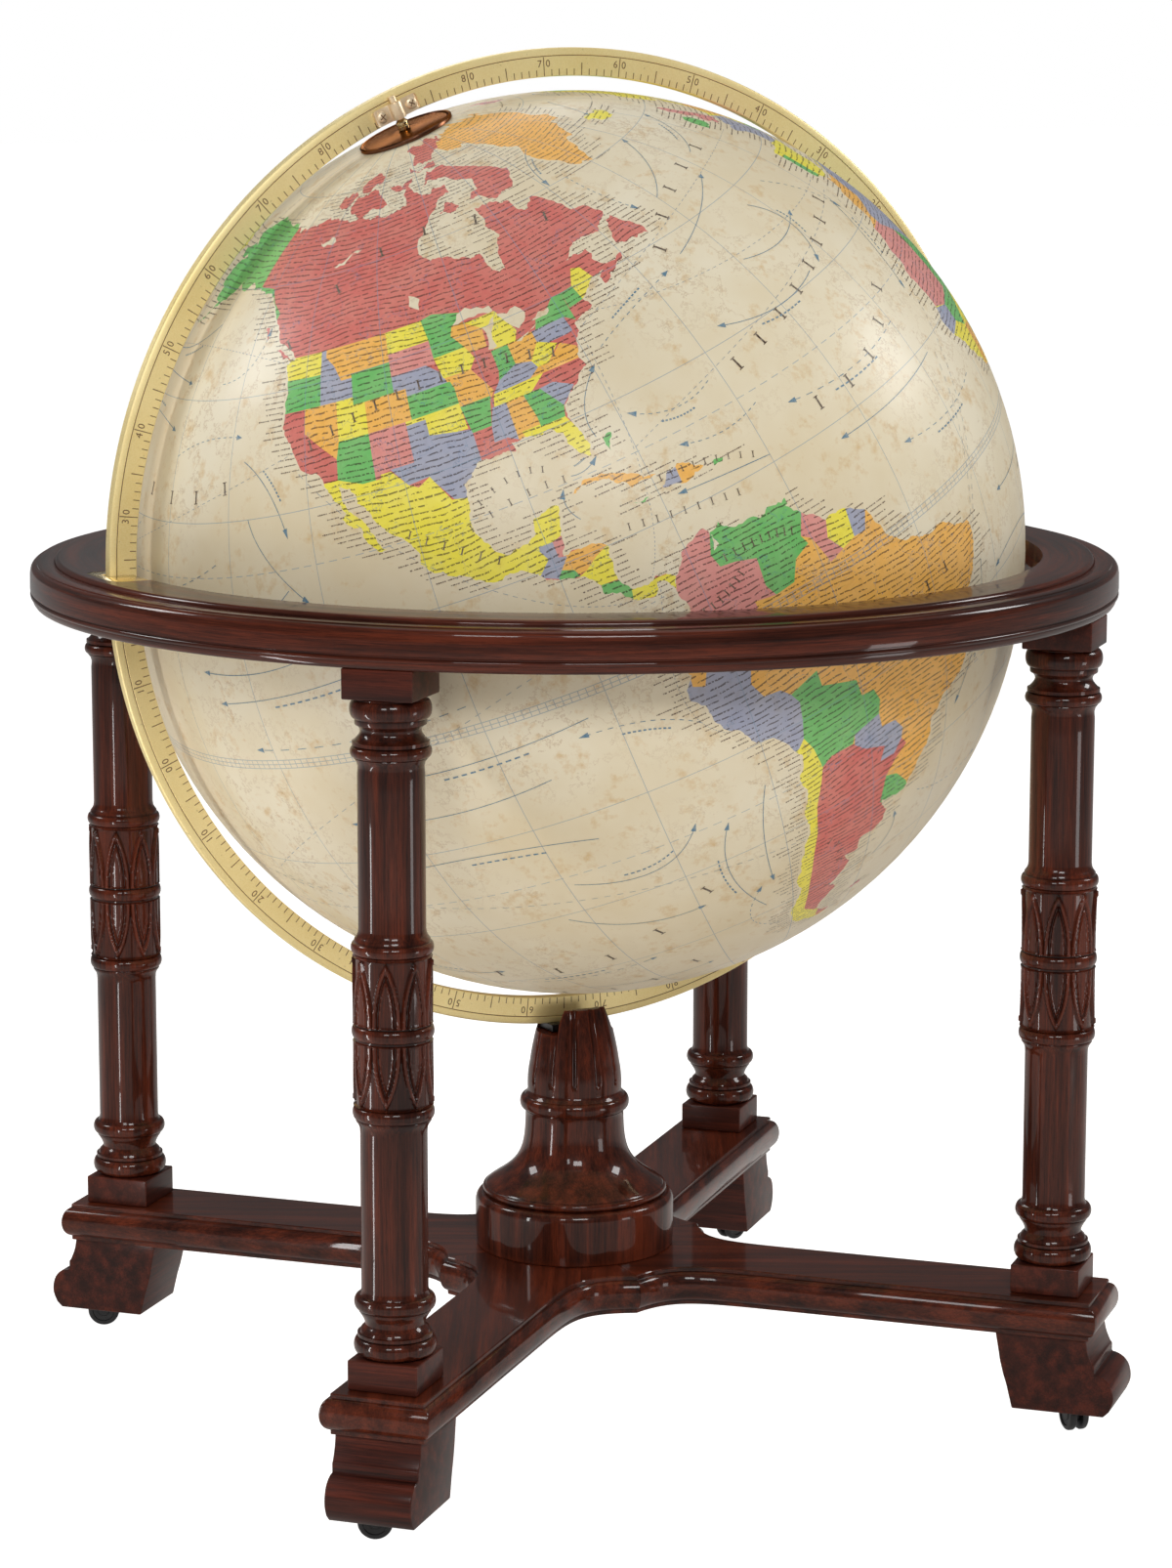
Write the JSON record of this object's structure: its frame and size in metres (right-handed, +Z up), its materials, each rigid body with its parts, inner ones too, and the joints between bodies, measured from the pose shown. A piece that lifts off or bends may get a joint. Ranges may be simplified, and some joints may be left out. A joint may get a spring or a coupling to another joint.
{
  "type": "globe on stand",
  "caption": "Floor-standing terrestrial globe: a tilting full meridian ring carries the ball inside a horizon ring held up by turned columns on a cross base with casters.",
  "frame": {"origin": "centre of the footprint on the floor, at the bottom of the caster wheels", "axes": "+Z up; the meridian ring stands in the XZ plane with its graduated face towards -Y; the north pole leans towards -X; the four arms lie on the XY diagonals"},
  "size_m": [0.9806, 0.9806, 1.224],
  "materials": {
    "mahogany": "high-gloss dark red-brown lacquer over mahogany",
    "mahogany_satin": "satin plum-brown lacquer over mahogany",
    "brass": "satin brushed, lacquered",
    "bronze": "polished bronze",
    "globe_shell": "varnished antique-style paper map over a hard shell",
    "black_plastic": "black moulded nylon",
    "steel": "plain zinc-plated"
  },
  "bodies": {
    "stand": {"base_arm_front_left": "mahogany", "base_arm_front_right": "mahogany", "base_arm_back_right": "mahogany", "base_arm_back_left": "mahogany", "foot_front_left": "mahogany_satin", "foot_front_right": "mahogany_satin", "foot_back_right": "mahogany_satin", "foot_back_left": "mahogany_satin", "lower_block_front_left": "mahogany_satin", "column_front_left": "mahogany", "upper_block_front_left": "mahogany_satin", "lower_block_front_right": "mahogany_satin", "column_front_right": "mahogany", "upper_block_front_right": "mahogany_satin", "lower_block_back_right": "mahogany_satin", "column_back_right": "mahogany", "upper_block_back_right": "mahogany_satin", "lower_block_back_left": "mahogany_satin", "column_back_left": "mahogany", "upper_block_back_left": "mahogany_satin", "horizon_panel": "mahogany", "horizon_rim": "mahogany", "slot_plate_left": "brass", "slot_plate_right": "brass", "pedestal_base": "mahogany", "pedestal_bell": "mahogany", "cradle_pad": "bronze", "hub_plate": "steel", "pedestal_bolt": "steel"},
    "meridian": {"meridian_ring": "brass", "pole_bracket_north": "brass", "bracket_screw_north_a": "brass", "bracket_screw_north_b": "brass", "pole_pin_north": "brass", "pole_bracket_south": "brass", "bracket_screw_south_a": "brass", "bracket_screw_south_b": "brass", "pole_pin_south": "brass"},
    "globe": {"globe_north_half": "globe_shell", "pole_dial_north": "bronze", "pole_bush_north": "steel", "globe_south_half": "globe_shell", "pole_dial_south": "bronze", "pole_bush_south": "steel", "equator_hoop": "steel"},
    "caster_front_left": {"caster_body_front_left": "black_plastic"},
    "wheels_front_left": {"caster_wheels_front_left": "black_plastic"},
    "caster_front_right": {"caster_body_front_right": "black_plastic"},
    "wheels_front_right": {"caster_wheels_front_right": "black_plastic"},
    "caster_back_right": {"caster_body_back_right": "black_plastic"},
    "wheels_back_right": {"caster_wheels_back_right": "black_plastic"},
    "caster_back_left": {"caster_body_back_left": "black_plastic"},
    "wheels_back_left": {"caster_wheels_back_left": "black_plastic"}
  },
  "joints": [
    {"name": "meridian_tilt", "type": "hinge", "parent": "stand", "child": "meridian", "pos_m": [0, 0, 0.78], "axis": [0, 1, 0], "range_deg": [-51, 98]},
    {"name": "globe_spin", "type": "hinge", "parent": "meridian", "child": "globe", "pos_m": [0, 0, 0.78], "axis": [-0.4035, 0, 0.915], "continuous": true},
    {"name": "swivel_front_left", "type": "hinge", "parent": "stand", "child": "caster_front_left", "pos_m": [-0.33375, -0.33375, 0.03], "axis": [0, 0, 1], "continuous": true},
    {"name": "roll_front_left", "type": "hinge", "parent": "caster_front_left", "child": "wheels_front_left", "pos_m": [-0.34364, -0.32893, 0.015], "axis": [-0.4384, -0.8988, 0], "continuous": true},
    {"name": "swivel_front_right", "type": "hinge", "parent": "stand", "child": "caster_front_right", "pos_m": [0.33375, -0.33375, 0.03], "axis": [0, 0, 1], "continuous": true},
    {"name": "roll_front_right", "type": "hinge", "parent": "caster_front_right", "child": "wheels_front_right", "pos_m": [0.33222, -0.34465, 0.015], "axis": [0.9903, -0.1392, 0], "continuous": true},
    {"name": "swivel_back_right", "type": "hinge", "parent": "stand", "child": "caster_back_right", "pos_m": [0.33375, 0.33375, 0.03], "axis": [0, 0, 1], "continuous": true},
    {"name": "roll_back_right", "type": "hinge", "parent": "caster_back_right", "child": "wheels_back_right", "pos_m": [0.34409, 0.33752, 0.015], "axis": [-0.342, 0.9397, 0], "continuous": true},
    {"name": "swivel_back_left", "type": "hinge", "parent": "stand", "child": "caster_back_left", "pos_m": [-0.33375, 0.33375, 0.03], "axis": [0, 0, 1], "continuous": true},
    {"name": "roll_back_left", "type": "hinge", "parent": "caster_back_left", "child": "wheels_back_left", "pos_m": [-0.34364, 0.33858, 0.015], "axis": [-0.4384, -0.8988, 0], "continuous": true}
  ]
}
